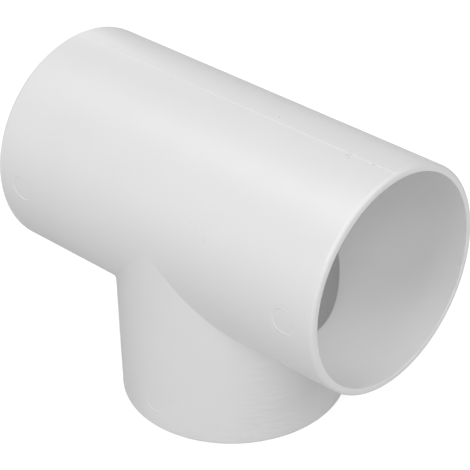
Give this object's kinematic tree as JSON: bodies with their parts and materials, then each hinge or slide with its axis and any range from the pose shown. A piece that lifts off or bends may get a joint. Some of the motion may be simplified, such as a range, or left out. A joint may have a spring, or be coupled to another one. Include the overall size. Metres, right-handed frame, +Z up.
{
  "type": "conduit tee",
  "caption": "Plain tee fitting for rigid electrical conduit: a straight tube with a square branch of the same bore, and a push-in socket at every mouth.",
  "frame": {"origin": "centre of the branch's mouth, in the plane of its rim", "axes": "+Z up from the branch's mouth to the run, X along the run"},
  "size_m": [0.0978, 0.054, 0.0764],
  "materials": {
    "white_pvc": "smooth moulded white PVC, satin to gloss"
  },
  "bodies": {
    "root": {"tee_body": "white_pvc"}
  },
  "joints": []
}
